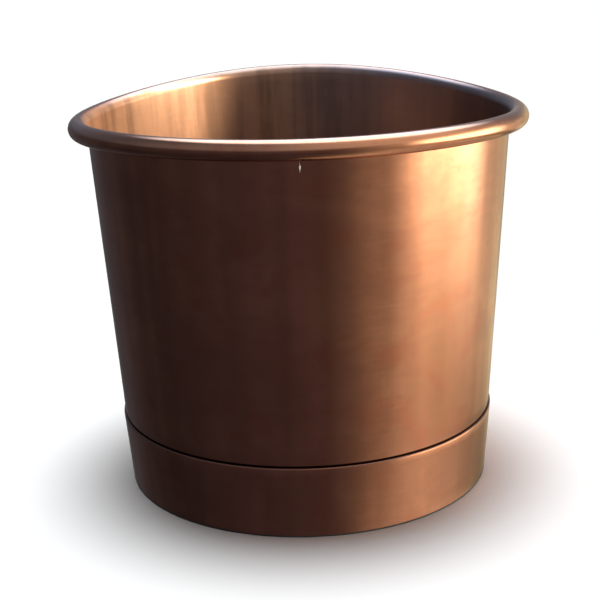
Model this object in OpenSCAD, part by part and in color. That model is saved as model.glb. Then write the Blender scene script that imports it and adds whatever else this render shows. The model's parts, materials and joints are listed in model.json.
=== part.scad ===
// Round copper soaking tub: a tapered two-part wall with a rolled rim, standing on a sheet plinth.
// The origin is the middle of the footprint at floor level, +Z is up and the front is towards -Y.

/* [Body] */
// Outer diameter over the rolled rim
rim_d = 1000; // [960:5:1040]
// Height from the floor to the top of the rim
tub_h = 845; // [800:5:900]
// Diameter of the rim's rolled bead
bead_d = 42; // [36:1:48]
// Outer diameter at the bottom edge of the wall
waist_d = 836; // [830:1:838]
// Thickness of the copper sheet
sheet_t = 2; // [1.5:0.1:2.5]
// Gap left at each butted seam
seam_gap = 0.6; // [0.3:0.1:1]
// Height of the tub's floor above the ground, beside the drain
floor_z = 190; // [188:1:194]
// Rise of the tub's floor per unit of distance from the drain
floor_fall = 0.02; // [0.01:0.005:0.03]

/* [Plinth] */
// Height of the plinth, up to its top edge
plinth_h = 160; // [158:1:161]
// Outer diameter of the plinth at its top edge
plinth_top_d = 843; // [840:1:846]
// Outer diameter of the plinth at the floor
plinth_foot_d = 817; // [812:1:822]
// Height of the shadow groove between the plinth and the wall
groove_h = 4; // [3:0.5:5]
// Thickness of the rubber seal under the plinth's edge
seal_h = 3; // [2:0.5:4]

/* [Base frame] */
// Height of the bearers and the ring
bar_h = 40; // [36:1:42]
// Width of the bearers
bar_w = 30; // [25:1:40]
// Wall thickness of the bearers
bar_t = 2.5; // [2:0.5:3]
// Distance of each long bearer from the middle
bearer_x = 150; // [120:5:160]
// Distance of each cross bearer from the middle
cross_y = 150; // [120:5:180]
// Thickness of the support board
board_t = 18; // [15:1:21]
// Outer diameter of the rolled ring
ring_d = 808; // [800:1:810]
// Thickness of the rolled ring
ring_t = 5; // [4:1:6]

/* [Feet] */
// Distance of the feet from the middle, front to back
foot_y = 300; // [280:5:310]
// Diameter of the threaded studs
stud_d = 12; // [10:2:16]
// Diameter of the foot pads
pad_d = 56; // [45:1:60]
// How far a foot can be wound out
foot_travel = 15; // [5:1:20]

/* [Drain] */
// Diameter of the drain's visible flange
flange_d = 70; // [66:1:76]
// Outer diameter of the drain body below the flange
drain_d = 44; // [42:1:46]
// Outer diameter of the tailpiece
tail_d = 38.1; // [38.1:0.1:40]
// Height of the tailpiece's open end above the floor
tail_z = 60; // [50:1:80]
// Diameter of the stopper's cap
cap_d = 58; // [54:1:62]
// How far the stopper rises to open
stopper_travel = 10; // [6:1:10]

/* [Hidden] */
$fn = 180;

// Colours
COPPER = [0.42, 0.24, 0.16];
COPPER_LIGHT = [0.62, 0.38, 0.26];
STEEL = [0.30, 0.31, 0.33];
ZINC = [0.66, 0.67, 0.68];
BLACK = [0.08, 0.08, 0.08];
PLYWOOD = [0.72, 0.58, 0.40];
FOAM = [0.55, 0.56, 0.55];
BRASS = [0.72, 0.55, 0.28];
NYLON = [0.86, 0.86, 0.82];

// Clearances: pieces that are fixed together, a turning or sliding fit, and pieces just apart
touch = 0.1;
slide = 0.05;
apart = 0.3;

// Wall and rim
bead_r = bead_d / 2;
bead_c = rim_d / 2 - bead_r;
bead_z = tub_h - bead_r;
wall_z = plinth_h + groove_h;
wall_top_r = bead_c - bead_r + sheet_t;
wall_slope = (wall_top_r - waist_d / 2) / (bead_z - wall_z);
function wall_r(z) = waist_d / 2 + (z - wall_z) * wall_slope;
function inside_r(z) = wall_r(z) - sheet_t;
core_r = bead_r - sheet_t - touch;
core_t = 2.5;
core_gap = 12;

// Plinth
lip_r = 3;
skirt_slope = (plinth_top_d - plinth_foot_d) / 2 / plinth_h;
function skirt_r(z) = plinth_foot_d / 2 + z * skirt_slope;
band_t = 3;
band_bottom = 138;
band_top = wall_z + 20;
band_r = waist_d / 2 - sheet_t - 3;
strap_w = 40;
spacer_h = 14;
spacer_angle = 4;
spacer_count = 6;

// Tub floor
pan_corner_r = 14;
pan_flange_h = 26;
recess_r = 46;
recess_depth = 3;
seat_z = floor_z - recess_depth;
function floor_at(r) = floor_z + (r - recess_r) * floor_fall;
pan_edge_z = floor_at(inside_r(floor_z)) - sheet_t;

// Frame levels
board_top = seat_z - sheet_t - 6;
bar_top = board_top - board_t;
bar_bottom = bar_top - bar_h;
board_r = band_r - band_t - 1.5;
board_hole_r = 48;
ring_r = ring_d / 2;
bearer_length = 2 * sqrt(pow(ring_r - ring_t - 1, 2) - pow(bearer_x + bar_w / 2, 2));
screw_ys = [-250, -80, 80, 250];
screw_r = 2.5;
screw_head_r = 5;

// Angle of the earth tag round the ring
earth_at = 60;

// Legs and feet
leg_r = 20;
leg_t = 3;
leg_bottom = 42;
leg_plate_t = 12;
nut_h = 7;
nut_af = 18;
stud_spare = 42;
stud_top = leg_bottom + leg_plate_t + foot_travel + stud_spare;
stud_foot = 6;
pad_h = 18;
FEET = [[-bearer_x, -foot_y], [bearer_x, -foot_y], [-bearer_x, foot_y], [bearer_x, foot_y]];

// Drain
drain_r = drain_d / 2;
drain_bore_r = 19;
top_seal_t = 1.5;
flange_t = 3.5;
flange_z = seat_z + top_seal_t;
flange_top = flange_z + flange_t;
drain_bottom = 126;
gasket_t = 5;
slip_t = 1.5;
locknut_t = 10;
locknut_af = 62;
boss_z = 148;
boss_h = 8;
boss_r = 8;
web_w = 5;
cartridge_r = 8;
cartridge_z = boss_z + boss_h;
cartridge_base_t = 4;
cartridge_top = flange_top - 3;
cartridge_cap_t = 3;
piston_r = 6;
piston_t = 4;
spring_z = cartridge_z + cartridge_base_t;
spring_h = cartridge_top - cartridge_cap_t - spring_z - piston_t - stopper_travel - 1;
spring_wire_r = 0.6;
spring_turns = 4;
piston_z = spring_z + spring_h;
stem_r = 4;
cap_z = flange_top + 2.2;
cap_t = 2.5;
cap_crown = 3.5;
nut_lip_t = 3;
tail_t = 1.3;
tail_neck_z = drain_bottom - 8;
tail_neck = 0.5;

// ---- helper shapes -------------------------------------------------------------------------

// A strip of sheet between two points of a half section, with its thickness inwards
module strip(r0, z0, r1, z1, t) {
    polygon([[r0 - t, z0], [r0, z0], [r1, z1], [r1 - t, z1]]);
}

// A quarter bend from a level sheet up into a standing one, about a centre
module bend(r, z, outer, t) {
    translate([r, z])
        intersection() {
            difference() {
                circle(r = outer);
                circle(r = outer - t);
            }
            translate([0, -outer])
                square([outer, outer]);
        }
}

// A half section turned round the tub's axis, left open by a gap at an angle
module turned(gap, at) {
    open = gap / (rim_d / 2) * 180 / PI;
    rotate([0, 0, at + open / 2])
        rotate_extrude(angle = 360 - open)
            children();
}

// A half section turned through an arc centred on an angle
module arc_piece(at, angle) {
    rotate([0, 0, at - angle / 2])
        rotate_extrude(angle = angle)
            children();
}

// A flat ring or a tube standing on a height
module tube(outer, inner, z, h) {
    translate([0, 0, z])
        difference() {
            cylinder(r = outer, h = h);
            translate([0, 0, -1])
                cylinder(r = inner, h = h + 2);
        }
}

// A six-sided nut with its bore
module hex_nut(af, bore, z, h) {
    translate([0, 0, z])
        difference() {
            cylinder(d = af / cos(30), h = h, $fn = 6);
            translate([0, 0, -1])
                cylinder(r = bore, h = h + 2);
        }
}

// A box section bar along Y, centred on the origin
module bar_along_y(length) {
    translate([-bar_w / 2, -length / 2, bar_bottom])
        difference() {
            cube([bar_w, length, bar_h]);
            translate([bar_t, -1, bar_t])
                cube([bar_w - 2 * bar_t, length + 2, bar_h - 2 * bar_t]);
        }
}

// A countersunk screw with its head just under the top of the board, or the hole for one
module wood_screw(shank_r, head_r, length) {
    top = board_top - touch;
    translate([0, 0, top - length])
        cylinder(r = shank_r, h = length);
    translate([0, 0, top - head_r + shank_r])
        cylinder(r1 = shank_r, r2 = head_r, h = head_r - shank_r);
}

// ---- wall and rim --------------------------------------------------------------------------

// Section of the wall with the rim rolled outwards over it
module wall_section() {
    strip(wall_r(wall_z), wall_z, wall_top_r, bead_z, sheet_t);
    translate([bead_c, bead_z])
        difference() {
            circle(r = bead_r);
            circle(r = bead_r - sheet_t);
        }
}

// One half of the wall, which spans the side that faces an angle
module wall_half(at) {
    open = seam_gap / wall_top_r * 180 / PI;
    color(COPPER)
        arc_piece(at, 180 - open)
            wall_section();
}

module wall_left() {
    wall_half(180);
}

module wall_right() {
    wall_half(0);
}

// Filler that closes the front and back seams
module seam_solder() {
    width = (seam_gap - 2 * slide) / wall_top_r * 180 / PI;
    color(COPPER_LIGHT)
        for (at = [-90, 90])
            arc_piece(at, width)
                wall_section();
}

// Steel tube that stiffens the rim, open at the back where its ends meet
module rim_core() {
    color(STEEL)
        turned(core_gap, 90)
            translate([bead_c, bead_z])
                difference() {
                    circle(r = core_r);
                    circle(r = core_r - core_t);
                }
}

// Dished floor with its edge turned up inside the wall and a recess for the drain
module floor_pan() {
    edge_r = inside_r(pan_edge_z + pan_corner_r) - touch;
    top_z = pan_edge_z + pan_corner_r + pan_flange_h;
    color(COPPER)
        rotate_extrude() {
            strip(edge_r, pan_edge_z + pan_corner_r, inside_r(top_z) - touch, top_z, sheet_t);
            bend(edge_r - pan_corner_r, pan_edge_z + pan_corner_r, pan_corner_r, sheet_t);
            polygon([
                [recess_r, floor_z - sheet_t],
                [edge_r - pan_corner_r, pan_edge_z],
                [edge_r - pan_corner_r, pan_edge_z + sheet_t],
                [recess_r + recess_depth, floor_z + floor_fall],
                [recess_r, seat_z],
                [drain_r + touch, seat_z],
                [drain_r + touch, seat_z - sheet_t],
                [recess_r, seat_z - sheet_t]
            ]);
        }
}

// Stepped band that joins the wall to the plinth and shows in the groove
module joint_band() {
    flare = inside_r(wall_z) - touch;
    color(COPPER)
        rotate_extrude()
            polygon([
                [band_r - band_t, band_bottom],
                [band_r, band_bottom],
                [band_r, plinth_h],
                [flare, wall_z],
                [inside_r(band_top) - touch, band_top],
                [inside_r(band_top) - touch - band_t, band_top],
                [flare - band_t, wall_z],
                [band_r - band_t, plinth_h]
            ]);
}

// ---- plinth --------------------------------------------------------------------------------

// Section of the skirt with its top edge turned in to the band
module skirt_section() {
    top_r = skirt_r(plinth_h);
    strip(skirt_r(seal_h), seal_h, top_r, plinth_h - lip_r, sheet_t);
    translate([top_r - lip_r, plinth_h - lip_r])
        intersection() {
            difference() {
                circle(r = lip_r);
                circle(r = lip_r - sheet_t);
            }
            square([lip_r, lip_r]);
        }
    translate([band_r + touch, plinth_h - sheet_t])
        square([top_r - lip_r - band_r - touch, sheet_t]);
}

module plinth_skirt() {
    color(COPPER)
        turned(seam_gap, 90)
            skirt_section();
}

// Strip soldered behind the skirt's seam
module skirt_seam_strap() {
    low = 20;
    high = band_bottom - 3;
    color(COPPER)
        arc_piece(90, strap_w / skirt_r(low) * 180 / PI)
            strip(skirt_r(low) - sheet_t - touch, low, skirt_r(high) - sheet_t - touch, high, sheet_t);
}

// Rubber strip under the skirt's edge
module floor_seal() {
    outer = skirt_r(seal_h);
    color(BLACK)
        rotate_extrude() {
            translate([outer - 5, 0])
                square([5, seal_h]);
            translate([outer - 5, 0])
                square([5 - sheet_t - touch, seal_h + 9]);
        }
}

// Angle of one spacer round the ring
function spacer_at(i) = 15 + i * 360 / spacer_count;

// Nylon blocks between the ring and the skirt
module skirt_spacers() {
    low = bar_bottom;
    high = low + spacer_h;
    color(NYLON)
        for (i = [0:spacer_count - 1])
            difference() {
                arc_piece(spacer_at(i), spacer_angle)
                    polygon([
                        [ring_r + touch, low],
                        [skirt_r(low) - sheet_t - touch, low],
                        [skirt_r(high) - sheet_t - touch, high],
                        [ring_r + touch, high]
                    ]);
                spacer_bore(i, screw_r + touch);
            }
}

// Space of the screw that holds one spacer
module spacer_bore(i, r) {
    rotate([0, 0, spacer_at(i)])
        translate([ring_r - ring_t - 1, 0, bar_bottom + spacer_h / 2])
            rotate([0, 90, 0])
                cylinder(r = r, h = ring_t + 9);
}

// Pan-head screws through the ring into the spacers
module spacer_screws() {
    color(ZINC)
        for (i = [0:spacer_count - 1])
            rotate([0, 0, spacer_at(i)])
                translate([ring_r - ring_t - 3, 0, bar_bottom + spacer_h / 2])
                    rotate([0, 90, 0]) {
                        cylinder(r = 5, h = 2.8);
                        cylinder(r = screw_r, h = ring_t + 10);
                    }
}

// ---- support under the tub -----------------------------------------------------------------

// Dense foam bed between the board and the sloping floor
module floor_bedding() {
    outer = inside_r(pan_edge_z) - pan_corner_r - 3;
    color(FOAM)
        rotate_extrude()
            polygon([
                [board_hole_r, board_top + touch],
                [outer, board_top + touch],
                [outer, floor_at(outer) - sheet_t - apart],
                [board_hole_r, floor_at(board_hole_r) - sheet_t - apart]
            ]);
}

// Every screw place in the board
module at_board_screws() {
    for (side = [-1, 1])
        for (y = screw_ys)
            translate([side * bearer_x, y, 0])
                children();
}

// Marine plywood disc
module support_board() {
    color(PLYWOOD)
        difference() {
            tube(board_r, board_hole_r, bar_top, board_t);
            at_board_screws() {
                wood_screw(screw_r, screw_head_r, board_t + 1);
                translate([0, 0, board_top - 2 * touch])
                    cylinder(r = screw_head_r, h = 1);
            }
        }
}

// Countersunk screws that hold the board to the long bearers
module board_screws() {
    color(ZINC)
        at_board_screws()
            wood_screw(screw_r - touch, screw_head_r - touch, 30);
}

module frame_ring() {
    color(STEEL)
        difference() {
            tube(ring_r, ring_r - ring_t, bar_bottom, bar_h);
            for (i = [0:spacer_count - 1])
                spacer_bore(i, screw_r + touch);
            earth_bore();
        }
}

// One long bearer, drilled for the board screws
module long_bearer(side) {
    color(STEEL)
        difference() {
            translate([side * bearer_x, 0, 0])
                bar_along_y(bearer_length);
            for (y = screw_ys)
                translate([side * bearer_x, y, bar_top - bar_t - 1])
                    cylinder(r = screw_r, h = bar_t + 2);
        }
}

module bearer_left() {
    long_bearer(-1);
}

module bearer_right() {
    long_bearer(1);
}

// One cross bearer between the long ones
module cross_bearer(side) {
    color(STEEL)
        translate([0, side * cross_y, 0])
            rotate([0, 0, 90])
                bar_along_y(2 * (bearer_x - bar_w / 2 - touch));
}

module bearer_front() {
    cross_bearer(-1);
}

module bearer_back() {
    cross_bearer(1);
}

// One arm from a long bearer out to the ring
module side_arm(side) {
    near = bearer_x + bar_w / 2 + touch;
    far = ring_r - ring_t - 1;
    color(STEEL)
        translate([side * (near + far) / 2, 0, 0])
            rotate([0, 0, 90])
                bar_along_y(far - near);
}

module side_arm_left() {
    side_arm(-1);
}

module side_arm_right() {
    side_arm(1);
}

// Place of the earth screw, with its axis pointing outwards
module at_earth_screw() {
    rotate([0, 0, earth_at])
        translate([ring_r - ring_t, 0, bar_bottom + bar_h / 2])
            rotate([0, 90, 0])
                children();
}

module earth_bore() {
    at_earth_screw()
        translate([0, 0, -1])
            cylinder(r = 3 + touch, h = ring_t + 2);
}

// Tag for the bonding wire, bent away from the ring
module earth_tag() {
    color(BRASS)
        at_earth_screw()
            difference() {
                union() {
                    translate([-2, -9, -1.5 - touch])
                        cube([18, 18, 1.5]);
                    translate([14.5, -9, -13])
                        cube([1.5, 18, 12.9]);
                    translate([0, 0, -1.5 - touch])
                        cylinder(r = 9, h = 1.5);
                }
                translate([0, 0, -3])
                    cylinder(r = 3 + touch, h = 5);
                translate([14, 0, -8])
                    rotate([0, 90, 0])
                        cylinder(r = 2.5, h = 3);
            }
}

module earth_screw() {
    color(BRASS)
        at_earth_screw() {
            translate([0, 0, -1.5 - 2 * touch - 3.5])
                cylinder(r = 5, h = 3.5);
            translate([0, 0, -3])
                cylinder(r = 3, h = ring_t + 2);
        }
}

// ---- legs and feet -------------------------------------------------------------------------

// Round leg with a threaded plate at its lower end
module leg(at) {
    color(STEEL)
        translate([at[0], at[1], leg_bottom])
            difference() {
                cylinder(r = leg_r, h = bar_bottom - leg_bottom);
                translate([0, 0, leg_plate_t])
                    cylinder(r = leg_r - leg_t, h = bar_bottom - leg_bottom);
                translate([0, 0, -1])
                    cylinder(r = stud_d / 2 + slide, h = leg_plate_t + 2);
            }
}

module leg_front_left() {
    leg(FEET[0]);
}

module leg_front_right() {
    leg(FEET[1]);
}

module leg_back_left() {
    leg(FEET[2]);
}

module leg_back_right() {
    leg(FEET[3]);
}

// Threaded stud with a collar that seats on the pad
module foot_stud(at) {
    color(ZINC)
        translate([at[0], at[1], 0]) {
            translate([0, 0, stud_foot])
                cylinder(d = stud_d, h = stud_top - stud_foot);
            translate([0, 0, pad_h])
                cylinder(r = 9, h = 3);
        }
}

module foot_stud_front_left() {
    foot_stud(FEET[0]);
}

module foot_stud_front_right() {
    foot_stud(FEET[1]);
}

module foot_stud_back_left() {
    foot_stud(FEET[2]);
}

module foot_stud_back_right() {
    foot_stud(FEET[3]);
}

// Nylon pad with a socket for the stud
module foot_pad(at) {
    rim_h = 6;
    color(BLACK)
        translate([at[0], at[1], 0])
            rotate_extrude()
                polygon([
                    [0, 0],
                    [pad_d / 2 - 1, 0],
                    [pad_d / 2, 1],
                    [pad_d / 2, rim_h],
                    [11, pad_h - touch],
                    [stud_d / 2 + touch, pad_h - touch],
                    [stud_d / 2 + touch, stud_foot - touch],
                    [0, stud_foot - touch]
                ]);
}

module foot_pad_front_left() {
    foot_pad(FEET[0]);
}

module foot_pad_front_right() {
    foot_pad(FEET[1]);
}

module foot_pad_back_left() {
    foot_pad(FEET[2]);
}

module foot_pad_back_right() {
    foot_pad(FEET[3]);
}

// Nuts that lock the studs against the legs
module foot_locknuts() {
    color(ZINC)
        for (at = FEET)
            translate([at[0], at[1], 0])
                hex_nut(nut_af, stud_d / 2 + slide, leg_bottom - nut_h - touch, nut_h);
}

// ---- drain and stopper ---------------------------------------------------------------------

// Flanged drain body with a crossed web that carries the cartridge
module drain_flange() {
    color(COPPER_LIGHT)
        difference() {
            union() {
                rotate_extrude()
                    polygon([
                        [drain_bore_r, drain_bottom],
                        [drain_r, drain_bottom],
                        [drain_r, flange_z],
                        [flange_d / 2 - 1, flange_z],
                        [flange_d / 2, flange_z + 1],
                        [flange_d / 2 - 2, flange_top],
                        [drain_bore_r + 7, flange_top],
                        [drain_bore_r + 3, flange_top - 2],
                        [drain_bore_r, flange_top - 5]
                    ]);
                for (turn = [0, 90])
                    rotate([0, 0, turn])
                        translate([-drain_bore_r - 0.5, -web_w / 2, boss_z])
                            cube([2 * drain_bore_r + 1, web_w, boss_h]);
                translate([0, 0, boss_z])
                    cylinder(r = boss_r, h = boss_h);
            }
            translate([0, 0, boss_z - 1])
                cylinder(r = stem_r + touch, h = boss_h + 2);
        }
}

module drain_top_seal() {
    color(BLACK)
        tube(flange_d / 2 - 2, drain_r + touch, seat_z + touch / 2, top_seal_t - touch);
}

module drain_gasket() {
    color(BLACK)
        tube(38, drain_r + touch, seat_z - sheet_t - gasket_t - touch, gasket_t);
}

module drain_slip_washer() {
    color(NYLON)
        tube(38, drain_r + touch, seat_z - sheet_t - gasket_t - slip_t - 2 * touch, slip_t);
}

module drain_locknut() {
    color(BRASS)
        hex_nut(locknut_af, drain_r + touch,
            seat_z - sheet_t - gasket_t - slip_t - 3 * touch - locknut_t, locknut_t);
}

// Plain outlet tube, necked where it passes through its nut, with a collar at its top
module tailpiece() {
    color(BRASS)
        rotate_extrude()
            polygon([
                [tail_d / 2 - tail_t, tail_z],
                [tail_d / 2, tail_z],
                [tail_d / 2, tail_neck_z],
                [tail_d / 2 - tail_neck, tail_neck_z],
                [tail_d / 2 - tail_neck, drain_bottom - 4],
                [drain_r - 0.5, drain_bottom - 4],
                [drain_r - 0.5, drain_bottom - 2],
                [tail_d / 2 - tail_t, drain_bottom - 2]
            ]);
}

module tailpiece_washer() {
    color(BLACK)
        tube(drain_r - 0.5, tail_d / 2 - tail_t, drain_bottom - 2 + touch, 2 - 2 * touch);
}

// Union nut that draws the tailpiece up to the drain body
module tailpiece_nut() {
    low = drain_bottom - 4 - touch - nut_lip_t;
    color(BRASS)
        difference() {
            translate([0, 0, low])
                cylinder(d = 52 / cos(22.5), h = 20, $fn = 8);
            translate([0, 0, low - 1])
                cylinder(r = tail_d / 2 + touch, h = 22);
            translate([0, 0, low + nut_lip_t])
                cylinder(r = drain_r + touch, h = 20);
        }
}

// Sleeve that guides the stem and holds its spring
module click_cartridge() {
    color(BRASS)
        rotate_extrude()
            polygon([
                [0, boss_z],
                [stem_r, boss_z],
                [stem_r, cartridge_z + touch],
                [cartridge_r, cartridge_z + touch],
                [cartridge_r, cartridge_top],
                [stem_r + slide, cartridge_top],
                [stem_r + slide, cartridge_top - cartridge_cap_t],
                [piston_r + slide, cartridge_top - cartridge_cap_t],
                [piston_r + slide, spring_z],
                [0, spring_z]
            ]);
}

// Points round the spring's wire at one place along its coil
function wire_ring(turn, height, sides) = [
    for (s = [0:sides - 1])
        let (a = s * 360 / sides, r = piston_r - 1.2 + spring_wire_r * cos(a))
            [r * cos(turn), r * sin(turn), height + spring_wire_r * sin(a)]
];

// Coil spring under the stem's piston, seated on flattened ends
module click_spring() {
    sides = 8;
    steps = spring_turns * 16;
    low = spring_z + spring_wire_r + touch;
    rise = spring_h - 2 * spring_wire_r - 2 * touch;
    rings = [for (k = [0:steps]) wire_ring(k * 360 * spring_turns / steps, low + rise * k / steps, sides)];
    points = [for (ring = rings) each ring];
    sleeve = [
        for (k = [0:steps - 1])
            for (s = [0:sides - 1])
                let (a = k * sides + s, b = k * sides + (s + 1) % sides)
                    each [[a, a + sides, b], [b, a + sides, b + sides]]
    ];
    ends = [[for (s = [0:sides - 1]) s], [for (s = [sides - 1:-1:0]) steps * sides + s]];
    color(ZINC)
        polyhedron(points = points, faces = concat(sleeve, ends));
}

// Plunger with its piston below and a seat for the cap above
module stopper_stem() {
    color(BRASS)
        rotate_extrude()
            polygon([
                [0, piston_z],
                [piston_r, piston_z],
                [piston_r, piston_z + piston_t],
                [stem_r, piston_z + piston_t],
                [stem_r, cap_z],
                [0, cap_z]
            ]);
}

// Domed cap that covers the drain
module stopper_cap() {
    crown_r = (pow(cap_d / 2, 2) + pow(cap_crown, 2)) / (2 * cap_crown);
    color(COPPER_LIGHT)
        rotate_extrude() {
            translate([0, cap_z])
                square([cap_d / 2, cap_t]);
            intersection() {
                translate([0, cap_z + cap_t + cap_crown - crown_r])
                    circle(r = crown_r);
                translate([0, cap_z + cap_t])
                    square([cap_d / 2, cap_crown + 1]);
            }
            difference() {
                translate([0, cap_z - 2])
                    square([drain_bore_r - 1, 2]);
                translate([-1, cap_z - 3])
                    square([drain_bore_r - 5 + 1, 3]);
            }
        }
}

// Soft ring under the cap, just clear of the flange when shut
module stopper_seal() {
    color(BLACK)
        tube(drain_bore_r + 6, drain_bore_r - 1 + touch, flange_top + apart, cap_z - flange_top - apart - touch);
}

// ---- assembly ------------------------------------------------------------------------------

wall_left();
wall_right();
seam_solder();
rim_core();
floor_pan();
joint_band();
plinth_skirt();
skirt_seam_strap();
floor_seal();
skirt_spacers();
spacer_screws();
floor_bedding();
support_board();
board_screws();
frame_ring();
bearer_left();
bearer_right();
bearer_front();
bearer_back();
side_arm_left();
side_arm_right();
earth_tag();
earth_screw();
leg_front_left();
leg_front_right();
leg_back_left();
leg_back_right();
foot_stud_front_left();
foot_stud_front_right();
foot_stud_back_left();
foot_stud_back_right();
foot_pad_front_left();
foot_pad_front_right();
foot_pad_back_left();
foot_pad_back_right();
foot_locknuts();
drain_flange();
drain_top_seal();
drain_gasket();
drain_slip_washer();
drain_locknut();
tailpiece();
tailpiece_washer();
tailpiece_nut();
click_cartridge();
click_spring();
stopper_stem();
stopper_cap();
stopper_seal();
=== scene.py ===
"""Round copper soaking tub: finished pieces, finishes and studio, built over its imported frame."""
import json
import math

import bmesh
import bpy
from mathutils import Matrix, Vector


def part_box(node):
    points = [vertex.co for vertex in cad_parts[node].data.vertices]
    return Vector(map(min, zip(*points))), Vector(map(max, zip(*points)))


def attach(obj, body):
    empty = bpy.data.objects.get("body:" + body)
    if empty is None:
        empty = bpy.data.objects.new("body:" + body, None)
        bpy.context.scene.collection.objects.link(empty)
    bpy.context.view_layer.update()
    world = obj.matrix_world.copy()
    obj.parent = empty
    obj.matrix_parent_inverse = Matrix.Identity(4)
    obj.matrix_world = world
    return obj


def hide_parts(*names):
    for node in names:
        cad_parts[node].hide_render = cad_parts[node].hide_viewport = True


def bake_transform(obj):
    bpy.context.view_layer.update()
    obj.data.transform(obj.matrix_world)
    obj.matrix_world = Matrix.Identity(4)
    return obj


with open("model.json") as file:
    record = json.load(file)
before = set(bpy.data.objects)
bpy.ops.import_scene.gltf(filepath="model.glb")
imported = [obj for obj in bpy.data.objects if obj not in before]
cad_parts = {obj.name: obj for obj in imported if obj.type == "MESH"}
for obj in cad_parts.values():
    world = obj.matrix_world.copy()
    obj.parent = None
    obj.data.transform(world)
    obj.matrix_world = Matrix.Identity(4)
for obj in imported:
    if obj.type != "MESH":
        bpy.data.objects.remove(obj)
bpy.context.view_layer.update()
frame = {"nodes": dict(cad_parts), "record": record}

bl_info = {
    "name": "Copper Soaking Tub",
    "version": (1, 0, 0),
    "blender": (4, 5, 0),
    "location": "View3D > Sidebar > Copper Tub",
    "description": "Builds the finished pieces of a round copper soaking tub over its frame",
    "category": "Add Mesh",
}

MM = 0.001
FULL_TURN = 2 * math.pi
FRONT = -math.pi / 2
BACK = math.pi / 2
MERGE = 0.003 * MM

SLOTS = {row["node"]: row["material_slot"] for row in frame["record"]["subparts"]}
BODIES = {node: body for body, nodes in frame["record"]["behaviour"]["bodies"].items() for node in nodes}
CORNERS = ("front_left", "front_right", "back_left", "back_right")


# ---- measures ------------------------------------------------------------------------------

def radii_near(node, height, reach=0.4 * MM):
    """Least and greatest distance from the tub's axis of a node's points near a height."""
    points = [v.co for v in frame["nodes"][node].data.vertices]
    found = [math.hypot(p.x, p.y) for p in points if abs(p.z - height) < reach]
    return min(found), max(found)


def middle(node):
    """Middle of a node's box."""
    low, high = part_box(node)
    return (low + high) / 2


def solids(node):
    """Points of each separate solid of a node."""
    mesh = bmesh.new()
    mesh.from_mesh(frame["nodes"][node].data)
    bmesh.ops.remove_doubles(mesh, verts=mesh.verts, dist=MERGE)
    left = set(mesh.verts)
    found = []
    while left:
        island = []
        queue = [left.pop()]
        while queue:
            here = queue.pop()
            island.append(here.co.copy())
            near = {e.other_vert(here) for e in here.link_edges} & left
            left -= near
            queue.extend(near)
        found.append(island)
    mesh.free()
    return sorted(found, key=lambda island: tuple(sum(island, Vector())))


def extent(points):
    """Lowest and highest corners round some points."""
    return (Vector(min(p[i] for p in points) for i in range(3)),
            Vector(max(p[i] for p in points) for i in range(3)))


RIM_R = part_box("wall_right")[1].x
RIM_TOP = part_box("wall_right")[1].z
WALL_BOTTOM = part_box("wall_right")[0].z
BEAD_Z = middle("rim_core").z
BEAD_R = RIM_TOP - BEAD_Z
BEAD_C = RIM_R - BEAD_R
FOOT_IN, FOOT_OUT = radii_near("wall_right", WALL_BOTTOM)
SHEET = FOOT_OUT - FOOT_IN
TUB_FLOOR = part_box("floor_pan")[0].z
HALF_JOINT = 0.3 * MM
FILLER_PLAY = 0.002 * MM
DROP_SINK = 1.5 * MM
WALL_AT_DROP = 0.4576
SOLDER_DROP = Vector((0.0, DROP_SINK - WALL_AT_DROP, 0.794))
SOLDER_DROP_SIZE = (9.0 * MM, 2.6 * MM, 2.6 * MM)


# ---- node trees ----------------------------------------------------------------------------

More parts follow.
